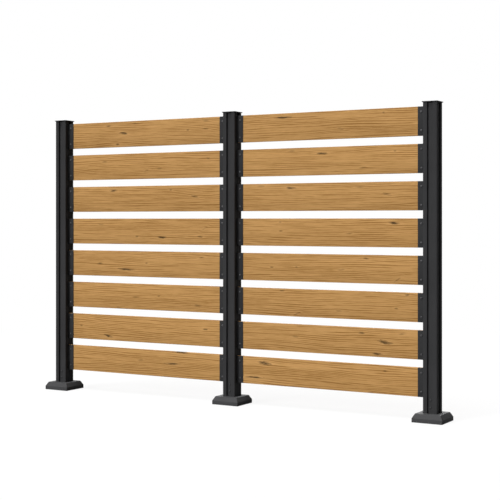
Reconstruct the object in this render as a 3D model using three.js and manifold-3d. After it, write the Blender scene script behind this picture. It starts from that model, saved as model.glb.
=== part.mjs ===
// Garden privacy screen: two bays of horizontal boards between three slotted
// aluminium posts, on base mounts that sliding skirts cover.
//
// Millimetres, +Z up. X runs along the screen, Y from its front to its back.
// The origin is on the ground under the middle post.

import * as THREE from 'three';
import { mergeVertices } from 'three/addons/utils/BufferGeometryUtils.js';
import Module from 'manifold-3d';

const wasm = await Module();
wasm.setup();

// ---------------------------------------------------------------- sizes

// Clearances
const FIT = 0.3; // between pieces that seat on each other
const SLIDE_FIT = 0.6; // between a skirt and the post that it slides on
const HOLE_FIT = 0.3; // round a screw in its hole, on the radius
const OVERCUT = 1; // of a cut past the face that it opens

// Boards
const BOARDS_PER_BAY = 8;
const BOARD_LENGTH = 1041.4;
const BOARD_HEIGHT = 139.7;
const BOARD_THICKNESS = 15.9;
const BOARD_EASED_EDGE = 1.2;
const BOARD_GAP = 38.1; // open space between two boards
const LOWEST_BOARD = 112; // from the ground to the lowest board
const BOARD_END_PLAY = 0.7; // from a board's end to the screw head behind it

// Posts: a square tube with a slot down the middle of each face
const POST_WIDTH = 69.85;
const POST_WALL = 2.2;
const POST_CORNER = 1;
const POST_ABOVE_BOARDS = 16.4;
const SLOT_WIDTH = 28.6;
const SLOT_DEPTH = 9.5;

// Brackets: a pocket for a board's end, over a spacer that fills the slot
const BRACKET_WEB = 2;
const BRACKET_LIP = 1.5;
const LIP_REACH = 36; // out of the post's side
const SPACER_SETBACK = 0.3; // of the spacer's face behind the post's side

// Screws
const SHANK_RADIUS = 2.1;
const LIP_SCREW_HEAD_RADIUS = 5.2;
const LIP_SCREW_HEAD_HEIGHT = 3;
const LIP_SCREW_LENGTH = 13;
const LIP_SCREW_OUT = 18; // out of the post's side
const LIP_SCREW_SPACING = 90;
const WEB_SCREW_HEAD_RADIUS = 4.2;
const WEB_SCREW_HEAD_HEIGHT = 2.6;
const WEB_SCREW_LENGTH = 9;
const BASE_SCREW_HEAD_RADIUS = 4.5;
const BASE_SCREW_HEAD_HEIGHT = 2.8;
const BASE_SCREW_LOWER = 68; // above the ground
const BASE_SCREW_SPACING = 35;

// Caps
const CAP_OVERHANG = 4.5;
const CAP_EDGE = 3; // upright edge of the plate
const CAP_FLARE = 1.6; // height of the slope under that edge
const CAP_FLARE_SETBACK = 2.4; // of the slope's foot from the edge
const SPIGOT_DEPTH = 22;
const SPIGOT_WALL = 2;

// Skirts
const SKIRT_WIDTH = 152.4;
const SKIRT_TOP_WIDTH = 127;
const SKIRT_HEIGHT = 41.3;
const SKIRT_BAND = 19; // height of the upright band at the ground
const SKIRT_WALL = 2.5;

// Base mounts: a plate on the ground with a stub tube welded on it
const PLATE_WIDTH = 127;
const PLATE_THICKNESS = 9.5;
const PLATE_CORNER = 8;
const ANCHOR_SPACING = 98;
const ANCHOR_HOLE_RADIUS = 5.5;
const STUB_TOP = 124; // above the ground
const STUB_FIT = 0.8; // between the stub and the post's inner walls
const STUB_WALL = 3;
const WELD_LEG = 4; // of the weld in the corner inside the stub

// Facets
const HEAD_SIDES = 8;
const SHANK_SIDES = 6;
const ANCHOR_HOLE_SIDES = 12;
const PLATE_CORNER_STEPS = 3;

// ---------------------------------------------------------------- layout

const postHalf = POST_WIDTH / 2;
const slotHalf = SLOT_WIDTH / 2;
const slotFloor = postHalf - SLOT_DEPTH; // from the post's axis
const postInner = slotFloor - POST_WALL; // back of the slot's floor

const bracketBack = slotFloor + FIT;
const pocketFloor = bracketBack + BRACKET_WEB;
const boardEnd = pocketFloor + WEB_SCREW_HEAD_HEIGHT + BOARD_END_PLAY;
const lipEnd = postHalf + LIP_REACH;
const lipInner = BOARD_THICKNESS / 2 + FIT;
const lipOuter = lipInner + BRACKET_LIP;
const bracketHalf = slotHalf - FIT;
const spacerFace = postHalf - SPACER_SETBACK;

const postPitch = BOARD_LENGTH + 2 * boardEnd;
const boardPitch = BOARD_HEIGHT + BOARD_GAP;
const boardsTop = LOWEST_BOARD + BOARDS_PER_BAY * boardPitch - BOARD_GAP;
const postBottom = PLATE_THICKNESS + FIT;
const postTop = boardsTop + POST_ABOVE_BOARDS;

const lipScrewFromAxis = postHalf + LIP_SCREW_OUT;
const lipScrewHeights = [-0.5, 0.5].map((k) => BOARD_HEIGHT / 2 + k * LIP_SCREW_SPACING);
const webScrewHeight = BOARD_HEIGHT / 2;
const baseScrewHeights = [BASE_SCREW_LOWER, BASE_SCREW_LOWER + BASE_SCREW_SPACING];
const stubHalf = postInner - STUB_FIT;

// The board row with index 0 is the top one.
const lowestRow = BOARDS_PER_BAY - 1;
const boardBottom = (row) => LOWEST_BOARD + (lowestRow - row) * boardPitch;

// Foot of the spacer under a row: over the next bracket, or over the base plate.
const spacerFoot = (row) => (row < lowestRow ? FIT - BOARD_GAP : postBottom - boardBottom(row));

const POSTS = [
  { name: 'left', x: -postPitch, bracketSides: [1] },
  { name: 'middle', x: 0, bracketSides: [-1, 1] },
  { name: 'right', x: postPitch, bracketSides: [-1] },
];
const BAYS = [
  { name: 'left', x: -postPitch / 2 },
  { name: 'right', x: postPitch / 2 },
];

// ---------------------------------------------------------------- materials

function finish(name, color, roughness, metalness) {
  return new THREE.MeshStandardMaterial({ name, color, roughness, metalness, flatShading: true });
}

const postCoat = finish('post_coat', 0x333335, 0.45, 0.2);
const capPlastic = finish('cap_plastic', 0x2b2b2d, 0.5, 0);
const skirtPlastic = finish('skirt_plastic', 0x444446, 0.4, 0);
const bracketCoat = finish('bracket_coat', 0x303032, 0.5, 0.2);
const mountSteel = finish('mount_steel', 0x3a3a3c, 0.5, 0.4);
const boardWood = finish('board_wood', 0xb98e52, 0.7, 0);

// ---------------------------------------------------------------- solids

// A closed three.js geometry as a solid that can be joined and cut.
function solid(geometry) {
  geometry.deleteAttribute('normal');
  geometry.deleteAttribute('uv');
  const merged = mergeVertices(geometry);
  const corners = merged.index.array;
  const triangles = [];
  for (let i = 0; i < corners.length; i += 3) {
    const [a, b, c] = [corners[i], corners[i + 1], corners[i + 2]];
    if (a !== b && b !== c && c !== a) {
      triangles.push(a, b, c);
    }
  }
  return new wasm.Manifold(new wasm.Mesh({
    numProp: 3,
    vertProperties: new Float32Array(merged.attributes.position.array),
    triVerts: new Uint32Array(triangles),
  }));
}

// A solid as a three.js geometry again.
function geometryOf(body) {
  const mesh = body.getMesh();
  const geometry = new THREE.BufferGeometry();
  geometry.setAttribute('position', new THREE.BufferAttribute(mesh.vertProperties, 3));
  geometry.setIndex(new THREE.BufferAttribute(mesh.triVerts, 1));
  geometry.computeVertexNormals();
  return geometry;
}

// A flat outline, extruded upwards from z = bottom to z = top.
function prism(shape, bottom, top, curveSegments = 12) {
  const settings = { depth: top - bottom, bevelEnabled: false, curveSegments };
  return new THREE.ExtrudeGeometry(shape, settings).translate(0, 0, bottom);
}

// A box from its lowest to its highest corner.
function block([x0, y0, z0], [x1, y1, z1]) {
  return new THREE.BoxGeometry(x1 - x0, y1 - y0, z1 - z0)
    .translate((x0 + x1) / 2, (y0 + y1) / 2, (z0 + z1) / 2);
}

// A square profile turned about Z: each point is [half width, height].
function squareTurned(profile) {
  const points = profile.map(([half, z]) => new THREE.Vector2(half * Math.SQRT2, z));
  return new THREE.LatheGeometry(points, 4, Math.PI / 4).rotateX(Math.PI / 2);
}

// Points of one side of a square section, repeated on its four sides.
function fourSides(sidePoints) {
  const centre = new THREE.Vector2(0, 0);
  const points = [];
  for (let quarter = 0; quarter < 4; quarter++) {
    for (const [x, y] of sidePoints) {
      points.push(new THREE.Vector2(x, y).rotateAround(centre, quarter * Math.PI / 2));
    }
  }
  return points;
}

// A screw along +Y with the underside of its head at y = 0.
function screw({ headRadius, headHeight, length }) {
  const sink = headHeight / 4; // so that the head and the shank are one solid
  const head = new THREE.CylinderGeometry(headRadius, headRadius, headHeight, HEAD_SIDES)
    .translate(0, -headHeight / 2, 0);
  const shank = new THREE.CylinderGeometry(SHANK_RADIUS, SHANK_RADIUS, length + sink, SHANK_SIDES)
    .translate(0, (length - sink) / 2, 0);
  return solid(head).add(solid(shank));
}

// The hole that a screw from screw() passes through, from y = from to y = to.
function screwHole(from, to) {
  const radius = SHANK_RADIUS + HOLE_FIT;
  return solid(new THREE.CylinderGeometry(radius, radius, to - from, SHANK_SIDES)
    .translate(0, (from + to) / 2, 0));
}

// Turns what lies along +Y, from the front, to start from the post's side.
function towardsPost(body, side) {
  return body.rotate([0, 0, side * 90]);
}

// ---------------------------------------------------------------- pieces

// Section of the post: square, a slot in each face, one wall thickness all round.
function postSection() {
  const innerFace = postHalf - POST_WALL;
  const lobe = slotHalf + POST_WALL;
  const section = new THREE.Shape(fourSides([
    [-postHalf + POST_CORNER, -postHalf],
    [-slotHalf, -postHalf],
    [-slotHalf, -slotFloor],
    [slotHalf, -slotFloor],
    [slotHalf, -postHalf],
    [postHalf - POST_CORNER, -postHalf],
  ]));
  section.holes.push(new THREE.Path(fourSides([
    [-innerFace, -innerFace],
    [-lobe, -innerFace],
    [-lobe, -postInner],
    [lobe, -postInner],
    [lobe, -innerFace],
  ])));
  return section;
}

// A post from its base mount to its cap, with the holes for its screws.
function postGeometry(bracketSides) {
  let post = solid(prism(postSection(), postBottom, postTop));
  const wallCut = [-slotFloor - OVERCUT, -postInner + OVERCUT];
  for (const height of baseScrewHeights) {
    const hole = screwHole(...wallCut).translate([0, 0, height]);
    post = post.subtract(hole).subtract(hole.rotate([0, 0, 180]));
  }
  for (const side of bracketSides) {
    for (let row = 0; row < BOARDS_PER_BAY; row++) {
      const hole = towardsPost(screwHole(...wallCut), side);
      post = post.subtract(hole.translate([0, 0, boardBottom(row) + webScrewHeight]));
    }
  }
  return geometryOf(post);
}

// A cap: a plate that flares out over the post, and a hollow spigot inside it.
function capGeometry() {
  const seat = postTop + FIT;
  const edge = postHalf + CAP_OVERHANG;
  const spigot = postInner - FIT;
  const bore = spigot - SPIGOT_WALL;
  return squareTurned([
    [0, seat],
    [bore, seat],
    [bore, postTop - SPIGOT_DEPTH],
    [spigot, postTop - SPIGOT_DEPTH],
    [spigot, seat],
    [edge - CAP_FLARE_SETBACK, seat],
    [edge, seat + CAP_FLARE],
    [edge, seat + CAP_FLARE + CAP_EDGE],
    [0, seat + CAP_FLARE + CAP_EDGE],
  ]);
}

// A skirt: an upright band, a slope and a flat top round the post.
function skirtGeometry() {
  const half = SKIRT_WIDTH / 2;
  const topHalf = SKIRT_TOP_WIDTH / 2;
  const opening = postHalf + SLIDE_FIT;
  return squareTurned([
    [half - SKIRT_WALL, 0],
    [half, 0],
    [half, SKIRT_BAND],
    [topHalf, SKIRT_HEIGHT],
    [opening, SKIRT_HEIGHT],
    [opening, SKIRT_HEIGHT - SKIRT_WALL],
    [topHalf - SKIRT_WALL / 2, SKIRT_HEIGHT - SKIRT_WALL],
    [half - SKIRT_WALL, SKIRT_BAND - SKIRT_WALL / 2],
    [half - SKIRT_WALL, 0],
  ]);
}

// Square plate with round corners and four anchor holes.
function platePlan() {
  const half = PLATE_WIDTH / 2;
  const centre = half - PLATE_CORNER;
  const corner = [];
  for (let step = 0; step <= PLATE_CORNER_STEPS; step++) {
    const angle = (step / PLATE_CORNER_STEPS - 1) * Math.PI / 2;
    corner.push([centre + PLATE_CORNER * Math.cos(angle), -centre + PLATE_CORNER * Math.sin(angle)]);
  }
  const plan = new THREE.Shape(fourSides(corner));
  for (const x of [-ANCHOR_SPACING / 2, ANCHOR_SPACING / 2]) {
    for (const y of [-ANCHOR_SPACING / 2, ANCHOR_SPACING / 2]) {
      plan.holes.push(new THREE.Path().absarc(x, y, ANCHOR_HOLE_RADIUS, 0, 2 * Math.PI));
    }
  }
  return plan;
}

// A base mount: the plate, the stub with its weld, and the four post screws.
// The weld lies inside the stub, because the post seats close round it.
function baseMountGeometry() {
  const bore = stubHalf - STUB_WALL;
  const root = PLATE_THICKNESS / 2; // the stub starts inside the plate
  const plate = solid(prism(platePlan(), 0, PLATE_THICKNESS, ANCHOR_HOLE_SIDES));
  const stub = solid(squareTurned([
    [bore - WELD_LEG, root],
    [stubHalf, root],
    [stubHalf, STUB_TOP],
    [bore, STUB_TOP],
    [bore, PLATE_THICKNESS + WELD_LEG],
    [bore - WELD_LEG, PLATE_THICKNESS],
    [bore - WELD_LEG, root],
  ]));
  let mount = plate.add(stub);
  const headSeat = slotFloor + FIT;
  const screwSolid = screw({
    headRadius: BASE_SCREW_HEAD_RADIUS,
    headHeight: BASE_SCREW_HEAD_HEIGHT,
    length: headSeat - bore,
  });
  for (const height of baseScrewHeights) {
    const front = screwSolid.translate([0, -headSeat, height]);
    mount = mount.add(front).add(front.rotate([0, 0, 180]));
  }
  return geometryOf(mount);
}

// Section of a bracket in the slot of the post's side that faces side * X.
function bracketSection(side) {
  const half = [
    [bracketBack, bracketHalf],
    [pocketFloor, bracketHalf],
    [pocketFloor, lipOuter],
    [lipEnd, lipOuter],
    [lipEnd, lipInner],
    [pocketFloor, lipInner],
  ];
  const mirrored = half.map(([x, y]) => [x, -y]).reverse();
  return new THREE.Shape([...half, ...mirrored].map(([x, y]) => new THREE.Vector2(side * x, y)));
}

// The bracket of a row, with z = 0 at its board's lower edge: the pocket, the
// spacer under it, two screws in its front lip and one that holds it to the post.
function bracketGeometry(side, row) {
  const [inner, outer] = [bracketBack, spacerFace].map((x) => side * x);
  const pocket = solid(prism(bracketSection(side), -FIT, BOARD_HEIGHT));
  const spacer = solid(block(
    [Math.min(inner, outer), -bracketHalf, spacerFoot(row)],
    [Math.max(inner, outer), bracketHalf, -FIT],
  ));
  let bracket = pocket.add(spacer);
  const lipScrew = screw({
    headRadius: LIP_SCREW_HEAD_RADIUS,
    headHeight: LIP_SCREW_HEAD_HEIGHT,
    length: LIP_SCREW_LENGTH,
  });
  for (const height of lipScrewHeights) {
    bracket = bracket.add(lipScrew.translate([side * lipScrewFromAxis, -lipOuter, height]));
  }
  const webScrew = screw({
    headRadius: WEB_SCREW_HEAD_RADIUS,
    headHeight: WEB_SCREW_HEAD_HEIGHT,
    length: WEB_SCREW_LENGTH,
  });
  const turned = towardsPost(webScrew.translate([0, -pocketFloor, 0]), side);
  return geometryOf(bracket.add(turned.translate([0, 0, webScrewHeight])));
}

// A board with eased long edges, lying along X with z = 0 at its lower edge.
function boardGeometry() {
  const half = BOARD_THICKNESS / 2;
  const e = BOARD_EASED_EDGE;
  const edge = [
    [-half, e], [-half + e, 0], [half - e, 0], [half, e],
    [half, BOARD_HEIGHT - e], [half - e, BOARD_HEIGHT],
    [-half + e, BOARD_HEIGHT], [-half, BOARD_HEIGHT - e],
  ];
  const section = new THREE.Shape(edge.map(([y, z]) => new THREE.Vector2(y, z)));
  const alongX = new THREE.Matrix4().makeBasis(
    new THREE.Vector3(0, 1, 0), new THREE.Vector3(0, 0, 1), new THREE.Vector3(1, 0, 0));
  const endX = BOARD_LENGTH / 2;
  let board = solid(prism(section, -endX, endX).applyMatrix4(alongX));
  const holeX = endX - (lipScrewFromAxis - boardEnd);
  const holeEnd = LIP_SCREW_LENGTH - lipOuter + HOLE_FIT;
  for (const x of [-holeX, holeX]) {
    for (const height of lipScrewHeights) {
      board = board.subtract(screwHole(-half - OVERCUT, holeEnd).translate([x, 0, height]));
    }
  }
  return geometryOf(board);
}

// ---------------------------------------------------------------- assembly

function piece(name, geometry, material) {
  const mesh = new THREE.Mesh(geometry, material);
  mesh.name = name;
  return mesh;
}

// The brackets of one side of a post, named from the top one down.
function addBrackets(group, post, side) {
  const facing = post.bracketSides.length > 1 ? { [-1]: '_left', 1: '_right' }[side] : '';
  for (let row = 0; row < BOARDS_PER_BAY; row++) {
    const name = `bracket_${post.name}_post${facing}_${row + 1}`;
    const bracket = piece(name, bracketGeometry(side, row), bracketCoat);
    bracket.position.z = boardBottom(row);
    group.add(bracket);
  }
}

// A post with all that is fixed to it or slides on it.
function postGroup(post) {
  const group = new THREE.Group();
  group.position.x = post.x;
  group.add(
    piece(`post_${post.name}`, postGeometry(post.bracketSides), postCoat),
    piece(`post_cap_${post.name}`, capGeometry(), capPlastic),
    piece(`base_skirt_${post.name}`, skirtGeometry(), skirtPlastic),
    piece(`base_mount_${post.name}`, baseMountGeometry(), mountSteel),
  );
  for (const side of post.bracketSides) {
    addBrackets(group, post, side);
  }
  return group;
}

// The boards of one bay, named from the top one down.
function bayGroup(bay) {
  const group = new THREE.Group();
  group.position.x = bay.x;
  const geometry = boardGeometry();
  for (let row = 0; row < BOARDS_PER_BAY; row++) {
    const board = piece(`board_${bay.name}_${row + 1}`, geometry, boardWood);
    board.position.z = boardBottom(row);
    group.add(board);
  }
  return group;
}

const screen = new THREE.Group();
POSTS.forEach((post) => screen.add(postGroup(post)));
BAYS.forEach((bay) => screen.add(bayGroup(bay)));

export default screen;
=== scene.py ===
"""The looks of a garden privacy screen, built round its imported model.

Stained boards sit in bracket pockets between three slotted, powder-coated
posts. Flat caps close the posts, and skirts that slide up the posts cover the
base mounts. Everything is in metres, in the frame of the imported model: X runs
along the screen, Y from its front to its back, and Z up.
"""

import logging
import math
from collections.abc import Iterable, Mapping, Sequence
from dataclasses import dataclass, field
from enum import Enum
from typing import Any

import bmesh
import bpy
from mathutils import Matrix, Vector


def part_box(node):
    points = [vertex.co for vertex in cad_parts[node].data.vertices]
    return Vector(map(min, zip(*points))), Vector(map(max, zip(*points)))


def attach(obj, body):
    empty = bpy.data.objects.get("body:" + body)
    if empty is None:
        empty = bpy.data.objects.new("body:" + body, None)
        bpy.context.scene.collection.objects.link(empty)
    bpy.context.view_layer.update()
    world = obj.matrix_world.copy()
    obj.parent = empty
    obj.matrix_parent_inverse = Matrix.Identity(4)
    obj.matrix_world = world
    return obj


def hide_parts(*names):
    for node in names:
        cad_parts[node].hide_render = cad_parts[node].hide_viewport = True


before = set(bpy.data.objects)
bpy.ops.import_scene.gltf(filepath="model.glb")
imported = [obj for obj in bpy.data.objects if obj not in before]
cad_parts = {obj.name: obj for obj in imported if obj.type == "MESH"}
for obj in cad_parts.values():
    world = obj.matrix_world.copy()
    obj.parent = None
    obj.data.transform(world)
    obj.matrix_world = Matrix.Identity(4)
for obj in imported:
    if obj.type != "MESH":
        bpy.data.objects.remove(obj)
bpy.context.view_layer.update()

LOG = logging.getLogger("privacy_screen")
SCREEN_BODY = "screen"
POST_NAMES = ("left", "middle", "right")
SHARP_ANGLE = math.radians(32)
MM = 0.001
# Most values of a noise pattern lie between these two.
NOISE_LOW = 0.3
NOISE_HIGH = 0.7

Colour = tuple[float, float, float]
Corner = tuple[float, float, float]
Outline = list[Vector]
Ring = list[bmesh.types.BMVert]
Socket = bpy.types.NodeSocket


# ------------------------------------------------------------------ choices


class Side(Enum):
    """A side of a post that carries brackets: the sign of its direction on X."""

    LEFT = -1
    RIGHT = 1


class Facing(Enum):
    """The way a screw's head looks, as a turn about Z from the front."""

    FRONT = 0.0
    RIGHT = math.pi / 2
    BACK = math.pi
    LEFT = -math.pi / 2


class Tone(Enum):
    """How light the stain came out on one board, as a share of the usual."""

    DEEP = 0.98
    PLAIN = 1.0
    PALE = 1.02


class KnotKind(Enum):
    """A kind of knot: its length and height in metres, and how dark it is."""

    PIN = (0.018, 0.008, 0.6)
    SMALL = (0.028, 0.009, 0.75)
    LARGE = (0.048, 0.012, 1.0)
    SOFT = (0.044, 0.011, 0.5)
    LONG = (0.088, 0.010, 1.0)
    WEDGE = (0.064, 0.017, 0.95)
    GHOST = (0.036, 0.009, 0.4)


# ------------------------------------------------------------------ shader trees


def tint(red: int, green: int, blue: int) -> Colour:
    """Turns a colour in display values into the linear one that shaders take.

    Args:
        red: red, 0 to 255.
        green: green, 0 to 255.
        blue: blue, 0 to 255.

    Returns:
        The linear colour, 0 to 1 in each part.
    """
    parts = (value / 255 for value in (red, green, blue))
    return tuple(p / 12.92 if p <= 0.04045 else ((p + 0.055) / 1.055) ** 2.4 for p in parts)


def opaque(colour: Colour, share: float = 1.0) -> tuple[float, float, float, float]:
    """Gives a colour, lightened or darkened by a share, the alpha of a solid surface."""
    return (*(share * part for part in colour), 1.0)


class NodeTree:
    """Writes the nodes of one tree, of shaders or of geometry."""

    prefix = ""

    def __init__(self, tree: bpy.types.NodeTree) -> None:
        """Takes over a tree.

        Args:
            tree: the tree to write into.
        """
        self.tree = tree

    def add(self, kind: str, inputs: Mapping[Any, Any] | None = None, **settings: Any) -> bpy.types.Node:
        """Adds a node.

        Args:
            kind: the node's type, in full or without the tree's usual beginning.
            inputs: a value or an output socket for each input's name or number.
            settings: properties of the node, which are set first.

        Returns:
            The new node.
        """
        node = self.tree.nodes.new(kind if "Node" in kind else self.prefix + kind)
        for name, value in settings.items():
            setattr(node, name, value)
        for name, value in (inputs or {}).items():
            self.feed(node.inputs[name], value)
        return node

    def feed(self, socket: Socket, value: Any) -> None:
        """Links an output socket to an input, or sets the input to a value."""
        if isinstance(value, Socket):
            self.tree.links.new(value, socket)
        else:
            socket.default_value = value


class ShaderTree(NodeTree):
    """Writes the nodes of a material, a world or a group of their nodes."""

    prefix = "ShaderNode"

    def math(self, operation: str, *values: Any) -> Socket:
        """Adds a Math node on numbers or sockets and returns its result."""
        return self.add("Math", dict(enumerate(values)), operation=operation).outputs[0]

    def vector(self, operation: str, *values: Any) -> Socket:
        """Adds a Vector Math node on vectors or sockets and returns its vector."""
        return self.add("VectorMath", dict(enumerate(values)), operation=operation).outputs[0]

    def spread(self, value: Any, low: float, high: float, to_low: Any, to_high: Any) -> Socket:
        """Maps a value from one range to another, clamped at its ends."""
        return self.add("MapRange", {0: value, 1: low, 2: high, 3: to_low, 4: to_high}).outputs[0]

    def noise(self, place: Socket, scale: float, detail: float = 2.0, rough: float = 0.5) -> Socket:
        """Adds a noise pattern and returns its value, about 0.5 on average."""
        inputs = {"Vector": place, "Scale": scale, "Detail": detail, "Roughness": rough}
        return self.add("TexNoise", inputs).outputs["Fac"]

    def ramp(self, factor: Socket, stops: Sequence[tuple[float, tuple]]) -> Socket:
        """Adds a colour ramp.

        Args:
            factor: what the ramp reads.
            stops: place and opaque colour of each stop.

        Returns:
            The ramp's colour.
        """
        node = self.add("ValToRGB", {"Fac": factor})
        elements = node.color_ramp.elements
        while len(elements) < len(stops):
            elements.new(1.0)
        for element, (place, colour) in zip(elements, stops):
            element.position = place
            element.color = colour
        return node.outputs["Color"]

    def bump(self, height: Socket, distance: float, strength: float) -> Socket:
        """Adds a Bump node and returns its normal."""
        return self.add("Bump", {"Height": height, "Distance": distance, "Strength": strength}).outputs[0]


class SurfaceTree(ShaderTree):
    """Writes one new material: its shader, and the coordinates that it reads."""

    def __init__(self, name: str, specular: float) -> None:
        """Starts the material.

        Args:
            name: the material's name.
            specular: its specular level.
        """
        self.material = bpy.data.materials.new(name)
        self.material.use_nodes = True
        super().__init__(self.material.node_tree)
        self.shader = self.tree.nodes["Principled BSDF"]
        self.shader.inputs["Specular IOR Level"].default_value = specular
        self.place = self.add("TexCoord").outputs["Object"]

    def dress(self, colour: Any, roughness: Any, normal: Socket) -> bpy.types.Material:
        """Links the shader's main inputs and returns the material."""
        for name, value in (("Base Color", colour), ("Roughness", roughness), ("Normal", normal)):
            self.feed(self.shader.inputs[name], value)
        return self.material


# ------------------------------------------------------------------ finishes


@dataclass(frozen=True)
class Finish:
    """What the finishes of metal and plastic have in common.

    Attributes:
        name: the material's name.
        colour: its linear colour.
        roughness: its middle roughness.
        specular: its specular level.
        grain: size of its fine relief, in metres.
        relief: height of that relief, in metres.
        patches: how many slow patches of colour it has in a metre.
        mottle: how much lighter or darker the patches are, as a share.
    """

    name: str
    colour: Colour
    roughness: float
    specular: float
    grain: float
    relief: float
    patches: float
    mottle: float

    def mottled(self, tree: SurfaceTree, pattern: Socket, low: float = NOISE_LOW) -> Socket:
        """Makes the colour darker where a pattern is low, and lighter where it is high."""
        shades = (opaque(self.colour, 1 - self.mottle), opaque(self.colour, 1 + self.mottle))
        return tree.ramp(pattern, list(zip((low, NOISE_HIGH), shades)))


@dataclass(frozen=True)
class PowderCoat(Finish):
    """Satin powder coat on aluminium: orange peel, and a gloss that strays a little.

    Attributes:
        gloss_patches: how many patches of more or less gloss it has in a metre.
        gloss_stray: how far their roughness strays from the middle one.
    """

    roughness: float = 0.6
    specular: float = 0.02
    grain: float = 1.3 * MM
    relief: float = 0.03 * MM
    patches: float = 7.0
    mottle: float = 0.07
    gloss_patches: float = 45.0
    gloss_stray: float = 0.05

    def material(self) -> bpy.types.Material:
        """Builds the coat's material."""
        tree = SurfaceTree(self.name, self.specular)
        colour = self.mottled(tree, tree.noise(tree.place, self.patches, 3.0))
        gloss = tree.noise(tree.place, self.gloss_patches, 4.0)
        sleek, dull = self.roughness - self.gloss_stray, self.roughness + self.gloss_stray
        roughness = tree.spread(gloss, NOISE_LOW, NOISE_HIGH, sleek, dull)
        peel = tree.noise(tree.place, 1 / self.grain, 1.0, 0.4)
        return tree.dress(colour, roughness, tree.bump(peel, self.relief, 0.6))


@dataclass(frozen=True)
class Moulding(Finish):
    """Moulded plastic: the fine, even grain of a spark-eroded tool."""

    grain: float = 0.8 * MM
    relief: float = 0.03 * MM
    patches: float = 14.0
    mottle: float = 0.05

    def material(self) -> bpy.types.Material:
        """Builds the plastic's material."""
        tree = SurfaceTree(self.name, self.specular)
        cells = tree.add("TexVoronoi", {"Vector": tree.place, "Scale": 1 / self.grain}).outputs["Distance"]
        colour = self.mottled(tree, tree.noise(tree.place, self.patches, 2.0))
        roughness = tree.spread(cells, 0.0, 0.8, self.roughness + 0.06, self.roughness - 0.04)
        return tree.dress(colour, roughness, tree.bump(cells, self.relief, 0.5))


@dataclass(frozen=True)
class CoatedSteel(Finish):
    """Thickly coated steel: a slow unevenness under the coat, and chalky patches.

    Attributes:
        metallic: how metallic it is.
    """

    grain: float = 3.0 * MM
    relief: float = 0.08 * MM
    patches: float = 30.0
    mottle: float = 0.15
    metallic: float = 0.0

    def material(self) -> bpy.types.Material:
        """Builds the steel's material."""
        tree = SurfaceTree(self.name, self.specular)
        tree.shader.inputs["Metallic"].default_value = self.metallic
        patches = tree.noise(tree.place, self.patches, 5.0, 0.6)
        sleek, dull = self.roughness - 0.06, self.roughness + 0.08
        roughness = tree.spread(patches, NOISE_LOW, NOISE_HIGH, sleek, dull)
        normal = tree.bump(tree.noise(tree.place, 1 / self.grain, 2.0), self.relief, 0.5)
        return tree.dress(self.mottled(tree, patches, low=0.35), roughness, normal)


@dataclass(frozen=True)
class Knot:
    """A knot in a board.

    Attributes:
        kind: its size and darkness.
        along: its place from the board's left end, in metres.
        up: its height above the board's lower edge, in metres.
        slope: how steeply it rises to the right.
    """

    kind: KnotKind
    along: float
    up: float
    slope: float = 0.0


@dataclass(frozen=True)
class Timber:
    """What sets one board apart from the others.

    Attributes:
        tone: how light its stain came out.
        knots: its knots.
    """

    tone: Tone
    knots: tuple[Knot, ...]


# A knot's fibres in a metre on each axis, how far they fray its rim, how far its
# pull on the grain reaches, in its own half sizes, and how strong that pull is.
KNOT_FIBRES = (45.0, 45.0, 230.0)
KNOT_FRAY = 2.2
KNOT_REACH = 4.0
KNOT_PULL = 0.8


def knot_group() -> bpy.types.NodeTree:
    """Writes the node group that adds one knot to a board.

    Its Flow is how far the grain is pushed up or down, its Heart how much of
    the surface is dark knot wood, and its Halo how much is pale round a knot.
    Its Size is half the knot's size on each axis.

    Returns:
        The group, with the knots before it as inputs and with it as outputs.
    """
    group = bpy.data.node_groups.new("knot", "ShaderNodeTree")
    sums = ("Flow", "Heart", "Halo")
    vectors = ("Place", "Centre", "Size")
    for name in vectors:
        group.interface.new_socket(name, in_out="INPUT", socket_type="NodeSocketVector")
    for name in ("Slope", "Strength", *sums):
        group.interface.new_socket(name, in_out="INPUT", socket_type="NodeSocketFloat")
    for name in sums:
        group.interface.new_socket(name, in_out="OUTPUT", socket_type="NodeSocketFloat")
    tree = ShaderTree(group)
    given = tree.add("NodeGroupInput").outputs
    result = tree.add("NodeGroupOutput").inputs
    offset = tree.add("SeparateXYZ", {0: tree.vector("SUBTRACT", given["Place"], given["Centre"])}).outputs
    rise = tree.math("SUBTRACT", offset["Z"], tree.math("MULTIPLY", offset["X"], given["Slope"]))
    level = tree.add("CombineXYZ", {"X": offset["X"], "Z": rise}).outputs[0]
    scaled = tree.vector("DIVIDE", level, given["Size"])
    length = tree.add("VectorMath", {0: scaled}, operation="LENGTH").outputs["Value"]
    fibres = tree.noise(tree.vector("MULTIPLY", given["Place"], KNOT_FIBRES), 1.0, 3.0)
    fray = tree.math("MULTIPLY", tree.math("SUBTRACT", fibres, 0.5), KNOT_FRAY)
    distance = tree.math("ADD", length, fray)
    near = tree.spread(length, 0.0, KNOT_REACH, 1.0, 0.0)
    push = tree.math("MULTIPLY", tree.math("MULTIPLY", near, near), rise)
    tree.feed(result["Flow"], tree.math("SUBTRACT", given["Flow"], tree.math("MULTIPLY", push, KNOT_PULL)))
    core = tree.math("MULTIPLY", tree.spread(distance, 0.4, 1.3, 1.0, 0.0), given["Strength"])
    tree.feed(result["Heart"], tree.math("MAXIMUM", given["Heart"], core))
    rim = tree.math("MULTIPLY", tree.spread(length, 1.0, 3.0, 1.0, 0.0), given["Strength"])
    tree.feed(result["Halo"], tree.math("MAXIMUM", given["Halo"], rim))
    return group


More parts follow.
